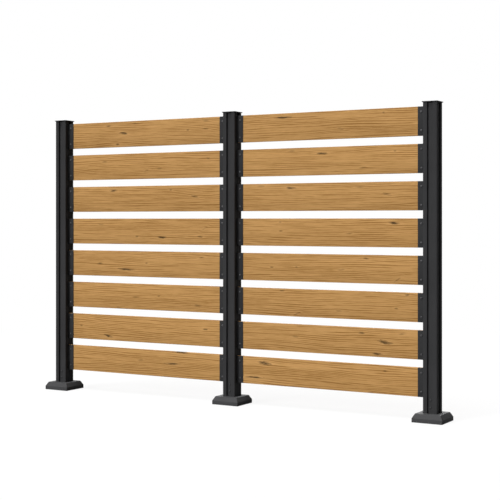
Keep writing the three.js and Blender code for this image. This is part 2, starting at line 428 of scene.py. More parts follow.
@dataclass(frozen=True)
class StainedWood:
    """Golden-brown stained softwood: thin growth rings, fine fibres and dark knots.

    Attributes:
        light: colour of the palest wood.
        middle: its average colour.
        dark: colour of the rings' late wood.
        heart: colour of a knot's middle.
        ring: distance from one growth ring to the next, in metres.
        wander: how far the grain strays up and down, in metres.
        bow: by how many rings the grain's slow waves shift them.
        late_from: shares of a ring at which its late wood starts and is darkest.
        late_to: shares of a ring at which that dark starts to end and is gone.
        contrast: how far the pattern departs from the average.
        stops: the pattern's values at which the dark, average and palest wood stand.
        halo: how much paler the wood is round a knot.
        roughness: roughness of the dark and of the pale fibres.
        specular: its specular level.
        relief: height of the fibres, in metres.
    """

    light: Colour = tint(194, 150, 94)
    middle: Colour = tint(175, 133, 79)
    dark: Colour = tint(132, 92, 45)
    heart: Colour = tint(80, 59, 34)
    ring: float = 9.5 * MM
    wander: float = 0.03
    bow: float = 4.0
    late_from: tuple[float, float] = (0.6, 0.88)
    late_to: tuple[float, float] = (0.92, 1.0)
    contrast: float = 1.7
    stops: tuple[float, float, float] = (0.14, 0.5, 0.82)
    halo: float = 0.1
    roughness: tuple[float, float] = (0.74, 0.62)
    specular: float = 0.08
    relief: float = 0.35 * MM

    def material(
        self, name: str, seed: int, timber: Timber, corner: Vector, knot_nodes: bpy.types.NodeTree
    ) -> bpy.types.Material:
        """Builds the wood of one board.

        Args:
            name: the material's name.
            seed: shifts the grain, so that no two boards look alike.
            timber: the board's tone and knots.
            corner: the board's lowest corner, which its knots are counted from.
            knot_nodes: the node group that adds a knot.

        Returns:
            The material.
        """
        tree = SurfaceTree(name, self.specular)
        so_far: dict[str, Any] = {"Flow": 0.0, "Heart": 0.0, "Halo": 0.0}
        for knot in timber.knots:
            length, height, strength = knot.kind.value
            inputs = {
                "Place": tree.place,
                "Centre": (corner.x + knot.along, 0.0, corner.z + knot.up),
                "Size": (length / 2, 1.0, height / 2),
                "Slope": knot.slope,
                "Strength": strength,
            }
            node = tree.add("Group", node_tree=knot_nodes)
            for socket, value in (inputs | so_far).items():
                tree.feed(node.inputs[socket], value)
            so_far = {socket: node.outputs[socket] for socket in so_far}
        grain = self._grain_place(tree, seed, so_far["Flow"])
        figure = tree.math("SUBTRACT", self._fibres(tree, grain), self._late_wood(tree, grain))
        value = tree.math("ADD", figure, tree.math("MULTIPLY", so_far["Halo"], self.halo))
        colours = [opaque(colour, timber.tone.value) for colour in (self.dark, self.middle, self.light)]
        wood = tree.ramp(value, list(zip(self.stops, colours)))
        stained = tree.add("Mix", {0: so_far["Heart"], 6: wood, 7: opaque(self.heart)}, data_type="RGBA")
        roughness = tree.spread(figure, NOISE_LOW, NOISE_HIGH, *self.roughness)
        relief = tree.math("SUBTRACT", figure, tree.math("MULTIPLY", so_far["Heart"], 0.4))
        return tree.dress(stained.outputs[2], roughness, tree.bump(relief, self.relief, 0.5))

    def _grain_place(self, tree: SurfaceTree, seed: int, flow: Any) -> Socket:
        """Bends the coordinates so that lines of equal height follow the grain.

        Args:
            tree: the material's tree.
            seed: shifts the pattern.
            flow: how far the knots push the grain.

        Returns:
            The bent coordinates.
        """
        shifted = tree.vector("ADD", tree.place, (3.7 * seed, 0.31 * seed, 1.9 * seed))
        slow = tree.vector("MULTIPLY", shifted, (1.6, 3.0, 5.0))
        drift = tree.math("SUBTRACT", tree.noise(slow, 1.0, 2.0), 0.5)
        rise = tree.math("ADD", tree.math("MULTIPLY", drift, self.wander), flow)
        up = tree.add("CombineXYZ", {"Z": rise}).outputs[0]
        return tree.vector("ADD", shifted, up)

    def _late_wood(self, tree: SurfaceTree, grain: Socket) -> Socket:
        """Draws the growth rings: thin dark lines that come and go along the board.

        Args:
            tree: the material's tree.
            grain: coordinates that follow the grain.

        Returns:
            How dark the late wood is, 0 between the rings.
        """
        height = tree.add("SeparateXYZ", {0: grain}).outputs["Z"]
        wave = tree.noise(tree.vector("MULTIPLY", grain, (1.3, 6.0, 15.0)), 1.0, 1.0)
        rings = tree.math("DIVIDE", height, self.ring)
        season = tree.math("FRACT", tree.math("ADD", rings, tree.math("MULTIPLY", wave, self.bow)))
        growth = tree.spread(season, *self.late_from, 0.0, 1.0)
        late = tree.math("MULTIPLY", growth, tree.spread(season, *self.late_to, 1.0, 0.0))
        fade = tree.noise(tree.vector("MULTIPLY", grain, (3.8, 20.0, 90.0)), 1.0, 2.0)
        return tree.math("MULTIPLY", late, tree.spread(fade, 0.4, 0.62, 0.04, 0.8))

    def _fibres(self, tree: SurfaceTree, grain: Socket) -> Socket:
        """Mixes streaks of several widths, each long on X and narrow on Z.

        Args:
            tree: the material's tree.
            grain: coordinates that follow the grain.

        Returns:
            A value a little over 0.5 on average: low in a dark streak.
        """
        layers = (
            ((1.2, 6.0, 20.0), 0.22),
            ((8.0, 60.0, 300.0), 0.4),
            ((24.0, 200.0, 620.0), 0.38),
        )
        total: Any = 0.04
        for size, weight in layers:
            layer = tree.noise(tree.vector("MULTIPLY", grain, size), 1.0, 2.0, 0.6)
            total = tree.math("ADD", total, tree.math("MULTIPLY", layer, weight))
        return tree.math("ADD", tree.math("MULTIPLY", tree.math("SUBTRACT", total, 0.5), self.contrast), 0.5)


# Knots are counted from each board's left end, and stand where the photo shows them.
PIN, SMALL, LARGE, SOFT, LONG, WEDGE, GHOST = KnotKind
TIMBERS = {
    "board_left_1": Timber(Tone.PLAIN, (
        Knot(SMALL, 0.280, 0.118), Knot(LARGE, 0.384, 0.076, -0.13), Knot(SMALL, 0.345, 0.015),
        Knot(GHOST, 0.461, 0.126), Knot(PIN, 0.805, 0.077), Knot(GHOST, 0.915, 0.122),
        Knot(GHOST, 0.915, 0.079),
    )),
    "board_left_2": Timber(Tone.PALE, (
        Knot(GHOST, 0.255, 0.099), Knot(PIN, 0.930, 0.100), Knot(GHOST, 0.540, 0.046, 0.3),
        Knot(GHOST, 0.622, 0.055, 0.05),
    )),
    "board_left_3": Timber(Tone.PLAIN, (
        Knot(LARGE, 0.315, 0.116), Knot(PIN, 0.695, 0.116), Knot(SOFT, 0.846, 0.080, -0.2),
    )),
    "board_left_4": Timber(Tone.PLAIN, (
        Knot(GHOST, 0.228, 0.108, -0.1), Knot(PIN, 0.475, 0.042), Knot(LARGE, 0.638, 0.038),
        Knot(SMALL, 0.880, 0.044, -0.1), Knot(GHOST, 0.908, 0.088, 0.5),
    )),
    "board_left_5": Timber(Tone.PLAIN, (
        Knot(SMALL, 0.226, 0.069), Knot(LONG, 0.402, 0.039, -0.06), Knot(PIN, 0.538, 0.075),
        Knot(GHOST, 0.890, 0.112, 0.2),
    )),
    "board_left_6": Timber(Tone.PALE, (
        Knot(PIN, 0.617, 0.078), Knot(SOFT, 0.864, 0.035, -0.1), Knot(GHOST, 0.465, 0.067),
        Knot(GHOST, 0.355, 0.006),
    )),
    "board_left_7": Timber(Tone.PALE, (
        Knot(LARGE, 0.281, 0.024, -0.2), Knot(PIN, 0.095, 0.074), Knot(SMALL, 0.915, 0.088),
    )),
    "board_left_8": Timber(Tone.PLAIN, (
        Knot(LONG, 0.703, 0.073, 0.02), Knot(LONG, 0.760, 0.138), Knot(GHOST, 0.500, 0.080),
    )),
    "board_right_1": Timber(Tone.PLAIN, (
        Knot(LONG, 0.272, 0.118), Knot(PIN, 0.825, 0.120), Knot(GHOST, 0.595, 0.050, -0.2),
    )),
    "board_right_2": Timber(Tone.PALE, (
        Knot(LARGE, 0.493, 0.108), Knot(PIN, 0.885, 0.109), Knot(GHOST, 0.718, 0.032),
        Knot(GHOST, 0.322, 0.124),
    )),
    "board_right_3": Timber(Tone.PLAIN, (
        Knot(LARGE, 0.318, 0.116), Knot(SOFT, 0.844, 0.080, -0.16), Knot(GHOST, 0.699, 0.116),
        Knot(GHOST, 0.148, 0.126),
    )),
    "board_right_4": Timber(Tone.PLAIN, (
        Knot(LARGE, 0.880, 0.117, -0.1), Knot(PIN, 0.257, 0.121), Knot(PIN, 0.260, 0.076),
        Knot(GHOST, 0.640, 0.066, 0.12),
    )),
    "board_right_5": Timber(Tone.PLAIN, (
        Knot(SMALL, 0.734, 0.122, -0.15), Knot(PIN, 0.208, 0.069), Knot(PIN, 0.351, 0.072),
        Knot(GHOST, 0.596, 0.064, 0.15), Knot(GHOST, 0.898, 0.022, 0.6),
    )),
    "board_right_6": Timber(Tone.DEEP, (
        Knot(SMALL, 0.266, 0.128), Knot(SMALL, 0.948, 0.128), Knot(PIN, 0.890, 0.061),
        Knot(GHOST, 0.586, 0.038), Knot(GHOST, 0.355, 0.016, 0.4),
    )),
    "board_right_7": Timber(Tone.DEEP, (
        Knot(SMALL, 0.708, 0.112), Knot(WEDGE, 0.832, 0.073, -0.13), Knot(LARGE, 0.790, 0.016),
        Knot(GHOST, 0.343, 0.077), Knot(GHOST, 0.921, 0.118, 0.15),
    )),
    "board_right_8": Timber(Tone.PLAIN, (
        Knot(WEDGE, 0.165, 0.111, -0.12), Knot(LONG, 0.107, 0.034), Knot(PIN, 0.833, 0.112),
        Knot(GHOST, 0.755, 0.004),
    )),
}

POST_COAT = PowderCoat("post_powder_coat", tint(54, 54, 55))
BRACKET_COAT = PowderCoat("bracket_powder_coat", tint(50, 50, 51))
CAP_PLASTIC = Moulding("cap_moulding", tint(50, 50, 51), 0.6, 0.03)
SKIRT_PLASTIC = Moulding("skirt_moulding", tint(68, 68, 69), 0.6, 0.025)
MOUNT_STEEL = CoatedSteel("mount_coated_steel", tint(48, 48, 50), 0.55, 0.3)
SCREW_STEEL = CoatedSteel(
    "screw_black_steel", tint(52, 52, 54), 0.34, 0.5, grain=1.0 * MM, relief=0.01 * MM, metallic=0.3
)
WOOD = StainedWood()


# ------------------------------------------------------------------ outlines and shells


def rounded(corners: Sequence[Corner], steps: int = 4) -> Outline:
    """Rounds the corners of a polygon.

    Args:
        corners: x, y and radius of each corner, in order.
        steps: chords in each arc.

    Returns:
        The points of the outline, in the same order.
    """
    outline: Outline = []
    for i, (x, y, radius) in enumerate(corners):
        corner = Vector((x, y))
        if radius == 0:
            outline.append(corner)
            continue
        back = (Vector(corners[i - 1][:2]) - corner).normalized()
        ahead = (Vector(corners[(i + 1) % len(corners)][:2]) - corner).normalized()
        half = back.angle(ahead) / 2
        centre = corner + (back + ahead).normalized() * radius / math.sin(half)
        first = corner + back * radius / math.tan(half) - centre
        last = corner + ahead * radius / math.tan(half) - centre
        sweep = math.atan2(first.x * last.y - first.y * last.x, first.dot(last))
        outline += [centre + Matrix.Rotation(sweep * step / steps, 2) @ first for step in range(steps + 1)]
    return outline


def four_sides(corners: Sequence[Corner]) -> list[Corner]:
    """Repeats the corners of one side of a square section on its four sides."""
    turned: list[Corner] = []
    for quarter in range(4):
        turn = Matrix.Rotation(quarter * math.pi / 2, 2)
        turned += [(*(turn @ Vector((x, y))), radius) for x, y, radius in corners]
    return turned


def circle(radius: float, steps: int, centre: Vector = Vector((0, 0))) -> Outline:
    """Gives the points of a circle, counter-clockwise."""
    angles = (2 * math.pi * step / steps for step in range(steps))
    return [centre + Vector((math.cos(angle), math.sin(angle))) * radius for angle in angles]


class Shell:
    """A mesh in the making, built of rings of points and the bands between them."""

    def __init__(self) -> None:
        """Starts an empty mesh."""
        self.bm = bmesh.new()

    def ring(self, outline: Iterable[Vector], z: float) -> Ring:
        """Adds the points of an outline at one height."""
        return [self.bm.verts.new((*point, z)) for point in outline]

    def band(self, *rings: Ring) -> None:
        """Joins each ring to the next one with a band of faces."""
        for low, high in zip(rings, rings[1:]):
            for i, point in enumerate(low):
                j = (i + 1) % len(low)
                self.bm.faces.new((point, low[j], high[j], high[i]))

    def flat(self, *rings: Ring) -> None:
        """Fills the flat area that one ring bounds, less the rings inside it."""
        edges = []
        for ring in rings:
            for i, point in enumerate(ring):
                pair = (ring[i - 1], point)
                edges.append(self.bm.edges.get(pair) or self.bm.edges.new(pair))
        bmesh.ops.triangle_fill(self.bm, edges=edges, use_beauty=True)

    def prism(self, outlines: Sequence[Outline], bottom: float, top: float) -> None:
        """Adds an upright prism.

        Args:
            outlines: its outline, and those of the holes that go right through it.
            bottom: its lowest height.
            top: its highest height.
        """
        lows, highs = ([self.ring(outline, z) for outline in outlines] for z in (bottom, top))
        for low, high in zip(lows, highs):
            self.band(low, high)
        self.flat(*lows)
        self.flat(*highs)

    def square_levels(self, profile: Outline, radius: float, closed: bool, steps: int = 6) -> None:
        """Adds a shell whose every level is a square with round corners.

        Args:
            profile: half width and height of each level, in order.
            radius: radius of the squares' corners.
            closed: true for a profile that closes on itself, and false for one
                with a flat face over its first and last level.
            steps: chords in each corner.
        """
        rings = [self.ring(rounded(four_sides([(half, -half, radius)]), steps), z) for half, z in profile]
        if closed:
            self.band(*rings, rings[0])
        else:
            self.band(*rings)
            self.flat(rings[0])
            self.flat(rings[-1])

    def ease_rims(self, width: float) -> None:
        """Bevels the edges round the flat bottoms and tops of the prisms so far."""
        bmesh.ops.recalc_face_normals(self.bm, faces=self.bm.faces)
        self.bm.normal_update()
        edges = []
        for edge in self.bm.edges:
            flat = [abs(face.normal.z) > 0.99 for face in edge.link_faces]
            if flat.count(True) == 1 and flat.count(False) == 1:
                edges.append(edge)
        bmesh.ops.bevel(self.bm, geom=edges, offset=width, segments=2, profile=0.6, affect="EDGES")

    def mesh(self, name: str, shift: Vector = Vector((0, 0, 0))) -> bpy.types.Mesh:
        """Ends the mesh: moved to its place, with its faces outwards.

        Args:
            name: the mesh's name.
            shift: how far the mesh is moved.

        Returns:
            The mesh.
        """
        bmesh.ops.translate(self.bm, verts=self.bm.verts, vec=shift)
        bmesh.ops.recalc_face_normals(self.bm, faces=self.bm.faces)
        mesh = bpy.data.meshes.new(name)
        self.bm.to_mesh(mesh)
        self.bm.free()
        shade(mesh)
        return mesh


def shade(mesh: bpy.types.Mesh) -> None:
    """Shades a mesh smooth, with a hard line wherever it bends sharply."""
    mesh.shade_smooth()
    mesh.set_sharp_from_angle(angle=SHARP_ANGLE)


# ------------------------------------------------------------------ patterns


class PatternTree(NodeTree):
    """A Geometry Nodes tree with named inputs, which is baked to plain meshes."""

    prefix = "GeometryNode"

    def __init__(self, name: str) -> None:
        """Starts an empty tree.

        Args:
            name: the tree's name.
        """
        super().__init__(bpy.data.node_groups.new(name, "GeometryNodeTree"))
        self.tree.is_modifier = True
        self.source = self.tree.nodes.new("NodeGroupInput")
        self.keys: dict[str, str] = {}

    def given(self, name: str, kind: str = "Float") -> Socket:
        """Adds a named input and returns the socket that gives it."""
        item = self.tree.interface.new_socket(name, in_out="INPUT", socket_type="NodeSocket" + kind)
        self.keys[name] = item.identifier
        return self.source.outputs[name]

    def vector(self, **parts: Any) -> Socket:
        """Adds a Combine XYZ node on the parts X, Y and Z and returns its vector."""
        return self.add("ShaderNodeCombineXYZ", parts).outputs[0]

    def times(self, value: Socket, factor: float) -> Socket:
        """Adds a Math node that multiplies a value and returns its result."""
        return self.add("ShaderNodeMath", {0: value, 1: factor}, operation="MULTIPLY").outputs[0]

    def finish(self, geometry: Socket) -> None:
        """Ends the tree: real meshes instead of instances, and their material."""
        real = self.add("RealizeInstances", {"Geometry": geometry}).outputs[0]
        dressed = self.add("SetMaterial", {"Geometry": real, "Material": self.given("Material", "Material")})
        self.tree.interface.new_socket("Geometry", in_out="OUTPUT", socket_type="NodeSocketGeometry")
        end = self.tree.nodes.new("NodeGroupOutput")
        self.tree.links.new(dressed.outputs[0], end.inputs[0])

    def bake(self, name: str, values: Mapping[str, Any]) -> bpy.types.Object:
        """Runs the tree once and keeps its result as a plain mesh.

        Args:
            name: name of the new object.
            values: a value for each named input.

        Returns:
            The new object, at the origin.
        """
        holder = linked(name + "_pattern", bpy.data.meshes.new(name + "_pattern"))
        modifier = holder.modifiers.new("pattern", "NODES")
        modifier.node_group = self.tree
        for label, value in values.items():
            modifier[self.keys[label]] = value
        graph = bpy.context.evaluated_depsgraph_get()
        mesh = bpy.data.meshes.new_from_object(holder.evaluated_get(graph), depsgraph=graph)
        holder.modifiers.remove(modifier)
        remove(holder)
        mesh.name = name
        shade(mesh)
        return linked(name, mesh)


def linked(name: str, mesh: bpy.types.Mesh) -> bpy.types.Object:
    """Makes an object of a mesh, at the origin, and puts it in the scene."""
    piece = bpy.data.objects.new(name, mesh)
    bpy.context.scene.collection.objects.link(piece)
    return piece


def remove(shape: bpy.types.Object) -> None:
    """Removes an object that only served a pattern, with its mesh."""
    mesh = shape.data
    bpy.data.objects.remove(shape)
    bpy.data.meshes.remove(mesh)


def slat_pattern() -> PatternTree:
    """Writes the tree of one board: an eased section swept along X, gently uneven.

    Returns:
        The tree. Its inputs are Length, Height, Thickness, Eased Edge, Centre,
        Steps, Waviness, Waves, Seed and Material.
    """
    slat = PatternTree("slat")
    length = slat.given("Length")
    sides = {"Width": slat.given("Thickness"), "Height": slat.given("Height")}
    section = slat.add("CurvePrimitiveQuadrilateral", sides).outputs[0]
    edges = {"Curve": section, "Count": 4, "Radius": slat.given("Eased Edge")}
    eased = slat.add("FilletCurve", edges, mode="POLY").outputs[0]
    ends = {"Start": slat.vector(X=slat.times(length, -0.5)), "End": slat.vector(X=slat.times(length, 0.5))}
    line = slat.add("CurvePrimitiveLine", ends).outputs[0]
    path = slat.add("ResampleCurve", {"Curve": line, "Count": slat.given("Steps", "Int")}).outputs[0]
    board = slat.add("CurveToMesh", {"Curve": path, "Profile Curve": eased, "Fill Caps": True}).outputs[0]
    placed = {"Geometry": board, "Translation": slat.given("Centre", "Vector")}
    laid = slat.add("Transform", placed).outputs[0]
    waves = {"W": slat.given("Seed"), "Scale": slat.given("Waves"), "Detail": 2.0}
    noise = slat.add("ShaderNodeTexNoise", waves, noise_dimensions="4D").outputs["Color"]
    centred = {0: noise, 1: (0.5, 0.5, 0.5)}
    even = slat.add("ShaderNodeVectorMath", centred, operation="SUBTRACT").outputs[0]
    scaled = {0: even, "Scale": slat.given("Waviness")}
    wave = slat.add("ShaderNodeVectorMath", scaled, operation="SCALE").outputs[0]
    slat.finish(slat.add("SetPosition", {"Geometry": laid, "Offset": wave}).outputs[0])
    return slat


def stack_pattern() -> PatternTree:
    """Writes the tree that stacks one template at even heights.

    Returns:
        The tree. Its inputs are Template, Count, Foot, Pitch and Material.
    """
    stack = PatternTree("stack")
    spots = {
        "Count": stack.given("Count", "Int"),
        "Start Location": stack.given("Foot", "Vector"),
        "Offset": stack.vector(Z=stack.given("Pitch")),
    }
    points = stack.add("MeshLine", spots).outputs[0]
    shape = stack.add("ObjectInfo", {"Object": stack.given("Template", "Object")}).outputs["Geometry"]
    stack.finish(stack.add("InstanceOnPoints", {"Points": points, "Instance": shape}).outputs[0])
    return stack


def screw_pattern() -> PatternTree:
    """Writes the tree that puts a screw at each marked place, driven home at random.

    Returns:
        The tree. Its inputs are Template, Places, Seed and Material. Places is
        a mesh of points, each with the turn of its screw about Z.
    """
    screws = PatternTree("screws")
    shape = screws.add("ObjectInfo", {"Object": screws.given("Template", "Object")}).outputs["Geometry"]
    marks = screws.add("ObjectInfo", {"Object": screws.given("Places", "Object")}).outputs["Geometry"]
    points = screws.add("MeshToPoints", {"Mesh": marks}).outputs[0]
    turn = screws.add("InputNamedAttribute", {"Name": "turn"}, data_type="FLOAT").outputs[0]
    chance = screws.add("FunctionNodeRandomValue", {"Seed": screws.given("Seed", "Int")}).outputs[1]
    roll = screws.times(chance, math.pi / 2)
    copies = {"Points": points, "Instance": shape, "Rotation": screws.vector(Y=roll, Z=turn)}
    screws.finish(screws.add("InstanceOnPoints", copies).outputs[0])
    return screws


def weld_pattern() -> PatternTree:
    """Writes the tree of a weld bead: overlapping ripples along a square path.

    Returns:
        The tree. Its inputs are Width, Corner, Ripple, Bead, Place and Material.
    """
    weld = PatternTree("weld_bead")
    width = weld.given("Width")
    square = weld.add("CurvePrimitiveQuadrilateral", {"Width": width, "Height": width}).outputs[0]
    turns = {"Curve": square, "Count": 5, "Radius": weld.given("Corner")}
    path = weld.add("FilletCurve", turns, mode="POLY").outputs[0]
    points = weld.add("CurveToPoints", {"Curve": path, "Length": weld.given("Ripple")}, mode="LENGTH")
    drop = weld.add("MeshUVSphere", {"Segments": 10, "Rings": 7, "Radius": weld.given("Bead")}).outputs[0]
    copies = {
        "Points": points.outputs["Points"],
        "Instance": drop,
        "Rotation": points.outputs["Rotation"],
        "Scale": (1.0, 1.0, 0.5),
    }
    beads = weld.add("InstanceOnPoints", copies).outputs[0]
    placed = {"Geometry": beads, "Translation": weld.given("Place", "Vector")}
    weld.finish(weld.add("Transform", placed).outputs[0])
    return weld


# ------------------------------------------------------------------ pieces


def fit_piece(piece: bpy.types.Object, body: str, nodes: Sequence[str] = ()) -> bpy.types.Object:
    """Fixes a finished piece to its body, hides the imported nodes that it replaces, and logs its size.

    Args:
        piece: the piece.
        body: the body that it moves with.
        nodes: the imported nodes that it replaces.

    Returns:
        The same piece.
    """
    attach(piece, body)
    if nodes:
        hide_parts(*nodes)
    LOG.info("%s: %d faces, on body %s, for %d nodes", piece.name, len(piece.data.polygons), body, len(nodes))
    return piece


def dressed(mesh: bpy.types.Mesh, material: bpy.types.Material) -> bpy.types.Object:
    """Makes an object of a mesh, with one material, at the origin."""
    mesh.materials.append(material)
    return linked(mesh.name, mesh)


def axis_of(node: str) -> Vector:
    """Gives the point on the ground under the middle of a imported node."""
    low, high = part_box(node)
    return Vector(((low.x + high.x) / 2, (low.y + high.y) / 2, 0.0))


@dataclass(frozen=True)
class Rows:
    """The rows of boards, from the lowest one up.

    Attributes:
        count: boards in a bay.
        foot: height of the lowest board's lower edge.
        board: height of a board.
        pitch: distance from one row to the next.
    """

    count: int
    foot: float
    board: float
    pitch: float

    @classmethod
    def from_frame(cls) -> "Rows":
        """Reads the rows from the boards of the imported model."""
        boxes = sorted((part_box(node) for node in TIMBERS if "left" in node), key=lambda box: box[0].z)
        low, high = boxes[0]
        return cls(len(boxes), low.z, high.z - low.z, boxes[1][0].z - low.z)

    @property
    def gap(self) -> float:
        """Height of the open space between two boards."""
        return self.pitch - self.board

    def heights(self, above: Iterable[float]) -> list[float]:
        """Gives the same few heights above the lower edge of every board."""
        return [self.foot + row * self.pitch + height for row in range(self.count) for height in above]


@dataclass
class Post:
    """A slotted post extrusion.

    Attributes:
        name: left, middle or right.
        wall: thickness of its walls.
        slot_width: width of the slot in each face.
        slot_depth: depth of those slots.
        corner: radius of its outer corners.
        lip: radius of the slots' edges.
    """

    name: str
    wall: float = 2.2 * MM
    slot_width: float = 28.6 * MM
    slot_depth: float = 9.5 * MM
    corner: float = 1.0 * MM
    lip: float = 0.6 * MM
    half: float = field(init=False)
    axis: Vector = field(init=False)

    def __post_init__(self) -> None:
        """Reads the post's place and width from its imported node."""
        low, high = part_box(self.node)
        self.half = (high.y - low.y) / 2
        self.axis = axis_of(self.node)

    @property
    def node(self) -> str:
        """Name of the post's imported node."""
        return f"post_{self.name}"

    @property
    def sides(self) -> tuple[Side, ...]:
        """The sides of the post that carry brackets."""
        return {"left": (Side.RIGHT,), "middle": (Side.LEFT, Side.RIGHT), "right": (Side.LEFT,)}[self.name]

    @property
    def slot_floor(self) -> float:
        """Distance of the slots' floors from the post's axis."""
        return self.half - self.slot_depth

    def section(self) -> tuple[Outline, Outline]:
        """Gives the outer and the inner outline of the extrusion."""
        h, s, floor, t = self.half, self.slot_width / 2, self.slot_floor, self.wall
        outer = [
            (-h, -h, self.corner),
            (-s, -h, self.lip),
            (-s, -floor, self.lip),
            (s, -floor, self.lip),
            (s, -h, self.lip),
        ]
        inner = [
            (-h + t, -h + t, self.lip),
            (-s - t, -h + t, self.lip),
            (-s - t, -floor + t, self.lip),
            (s + t, -floor + t, self.lip),
            (s + t, -h + t, self.lip),
        ]
        return rounded(four_sides(outer)), rounded(four_sides(inner))

    def build(self, coat: bpy.types.Material) -> bpy.types.Object:
        """Builds the post in its coat."""
        low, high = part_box(self.node)
        shell = Shell()
        shell.prism(self.section(), low.z, high.z)
        piece = dressed(shell.mesh(f"{self.name}_post_extrusion", self.axis), coat)
        return fit_piece(piece, SCREEN_BODY, [self.node])


@dataclass
class PostCap:
    """A post's cap: a plate that flares out over the post, on a hollow spigot.

    Attributes:
        name: left, middle or right.
        flare: height of the slope under the plate's edge.
        setback: how far that slope goes in.
        edge: height of the upright edge.
        wall: thickness of the spigot's wall.
        spigot: half width of the spigot.
        corner: radius of the plate's corners.
    """

    name: str
    flare: float = 1.6 * MM
    setback: float = 2.4 * MM
    edge: float = 3.0 * MM
    wall: float = 2.0 * MM
    spigot: float = 22.9 * MM
    corner: float = 1.0 * MM

    def build(self, plastic: bpy.types.Material) -> bpy.types.Object:
        """Builds the cap in its plastic."""
        node = f"post_cap_{self.name}"
        low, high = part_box(node)
        half = (high.y - low.y) / 2
        seat = high.z - self.edge - self.flare
        bore = self.spigot - self.wall
        profile = rounded([
            (bore, seat, 0),
            (bore, low.z, 0.5 * MM),
            (self.spigot, low.z, 0.8 * MM),
            (self.spigot, seat, 0.5 * MM),
            (half - self.setback, seat, 0.3 * MM),
            (half, high.z - self.edge, 0.5 * MM),
            (half, high.z, 0.6 * MM),
            (half - self.setback, high.z, 0),
        ])
        shell = Shell()
        shell.square_levels(profile, self.corner, closed=False)
        piece = dressed(shell.mesh(f"{self.name}_cap", axis_of(node)), plastic)
        return fit_piece(piece, SCREEN_BODY, [node])


@dataclass
class BaseSkirt:
    """A skirt round a post's foot: an upright band, a slope and a flat top.

    Attributes:
        name: left, middle or right.
        band: height of the upright band.
        top_half: half width of the flat top.
        wall: thickness of the moulding.
        opening: half width of the opening for the post.
        corner: radius of its upright corners.
    """

    name: str
    band: float = 19.0 * MM
    top_half: float = 63.5 * MM
    wall: float = 2.5 * MM
    opening: float = 35.525 * MM
    corner: float = 1.2 * MM

    def build(self, plastic: bpy.types.Material) -> bpy.types.Object:
        """Builds the skirt in its plastic."""
        node = f"base_skirt_{self.name}"
        low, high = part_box(node)
        half = (high.y - low.y) / 2
        profile = rounded([
            (half - self.wall, low.z, 0.4 * MM),
            (half, low.z, 0.5 * MM),
            (half, self.band, 1.2 * MM),
            (self.top_half, high.z, 1.2 * MM),
            (self.opening, high.z, 0.7 * MM),
            (self.opening, high.z - self.wall, 0.4 * MM),
            (self.top_half - self.wall / 2, high.z - self.wall, 1.0 * MM),
            (half - self.wall, self.band - self.wall / 2, 1.0 * MM),
        ])
        shell = Shell()
        shell.square_levels(profile, self.corner, closed=True)
        piece = dressed(shell.mesh(f"{self.name}_skirt", axis_of(node)), plastic)
        return fit_piece(piece, f"skirt_{self.name}", [node])


@dataclass
class BaseMount:
    """A base mount: a plate with four anchor holes and a stub tube welded on it.

    Attributes:
        name: left, middle or right.
        plate: thickness of the plate.
        plate_corner: radius of the plate's corners.
        anchor_spacing: distance between two anchor holes.
        anchor_hole: radius of an anchor hole.
        stub_half: half width of the stub.
        stub_wall: thickness of the stub's wall.
        stub_corner: radius of the stub's corners.
        bead: radius of the weld bead.
        ripple: distance between two of its ripples.
        rim: width of the bevel round the plate.
    """

    name: str
    plate: float = 9.5 * MM
    plate_corner: float = 8.0 * MM
    anchor_spacing: float = 98.0 * MM
    anchor_hole: float = 5.5 * MM
    stub_half: float = 22.425 * MM
    stub_wall: float = 3.0 * MM
    stub_corner: float = 2.5 * MM
    bead: float = 3.0 * MM
    ripple: float = 2.2 * MM
    rim: float = 0.6 * MM

    def build(self, steel: bpy.types.Material, weld: PatternTree) -> None:
        """Builds the mount and the weld bead in the corner inside its stub.

        Args:
            steel: material of both.
            weld: the tree of the bead.
        """
        node = f"base_mount_{self.name}"
        low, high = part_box(node)
        half = (high.x - low.x) / 2
        reach = self.anchor_spacing / 2
        spots = [Vector((x, y)) for x in (-reach, reach) for y in (-reach, reach)]
        plan = rounded(four_sides([(half, -half, self.plate_corner)]), 6)
        seat = low.z + self.plate
        shell = Shell()
        shell.prism([plan, *(circle(self.anchor_hole, 24, spot) for spot in spots)], low.z, seat)
        shell.ease_rims(self.rim)
        bore = self.stub_half - self.stub_wall
        tube = [
            (bore, seat, 0),
            (self.stub_half, seat, 0),
            (self.stub_half, high.z, 0.6 * MM),
            (bore, high.z, 0.6 * MM),
        ]
        shell.square_levels(rounded(tube), self.stub_corner, closed=True)
        mount = dressed(shell.mesh(f"{self.name}_mount", axis_of(node)), steel)
        fit_piece(mount, SCREEN_BODY, [node])
        bead = weld.bake(f"{self.name}_weld_bead", {
            "Width": 2 * bore - self.bead,
            "Corner": self.stub_corner,
            "Ripple": self.ripple,
            "Bead": self.bead,
            "Place": axis_of(node) + Vector((0, 0, seat)),
            "Material": steel,
        })
        fit_piece(bead, SCREEN_BODY)


